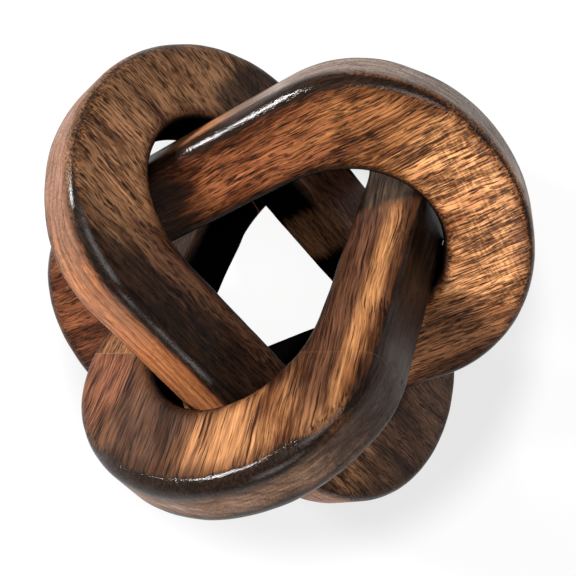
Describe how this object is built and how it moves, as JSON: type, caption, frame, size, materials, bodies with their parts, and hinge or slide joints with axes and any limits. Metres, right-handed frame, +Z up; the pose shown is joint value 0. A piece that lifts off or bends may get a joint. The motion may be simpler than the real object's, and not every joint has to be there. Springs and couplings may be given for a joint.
{
  "type": "wooden ring knot puzzle",
  "caption": "Interlocked oblong wooden rings, each passed through the next; they rest collapsed on a table and open out square without coming apart.",
  "frame": {"origin": "bottom centre of the bounding box, on the surface that the knot stands on, below the three ring centres", "axes": "+Z up; +X towards the raised end of the right ring; -Y towards the raised end of the lower ring"},
  "size_m": [0.142, 0.1352, 0.102],
  "materials": {
    "ring_right_wood": "oiled, orange-brown hardwood with scorched edges and dark pores",
    "ring_left_wood": "oiled, grey-brown hardwood with a scorched outer edge",
    "lower_ring_near_wood": "oiled, brown hardwood with golden and dark bands and scorched edges",
    "lower_ring_far_wood": "oiled, reddish brown hardwood with scorched edges",
    "dowel_wood": "plain turned hardwood"
  },
  "bodies": {
    "lower_ring": {"lower_ring_near_half": "lower_ring_near_wood", "lower_ring_far_half": "lower_ring_far_wood", "dowel_left_inner": "dowel_wood", "dowel_left_outer": "dowel_wood", "dowel_right_inner": "dowel_wood", "dowel_right_outer": "dowel_wood"},
    "right_ring": {"ring_right": "ring_right_wood"},
    "left_ring": {"ring_left": "ring_left_wood"}
  },
  "joints": [
    {"name": "right_ring_opening", "type": "hinge", "parent": "lower_ring", "child": "right_ring", "pos_m": [0, -0.00055, 0.05104], "axis": [0.8812, 0.1226, -0.4566], "range_deg": [0, 30]},
    {"name": "left_ring_opening", "type": "hinge", "parent": "lower_ring", "child": "left_ring", "pos_m": [0.00074, -0.00095, 0.04844], "axis": [0.4084, 0.9128, -0.0034], "range_deg": [0, 30]}
  ],
  "couplings": [
    {"joint": "left_ring_opening", "follows": "right_ring_opening", "ratio": 1}
  ]
}
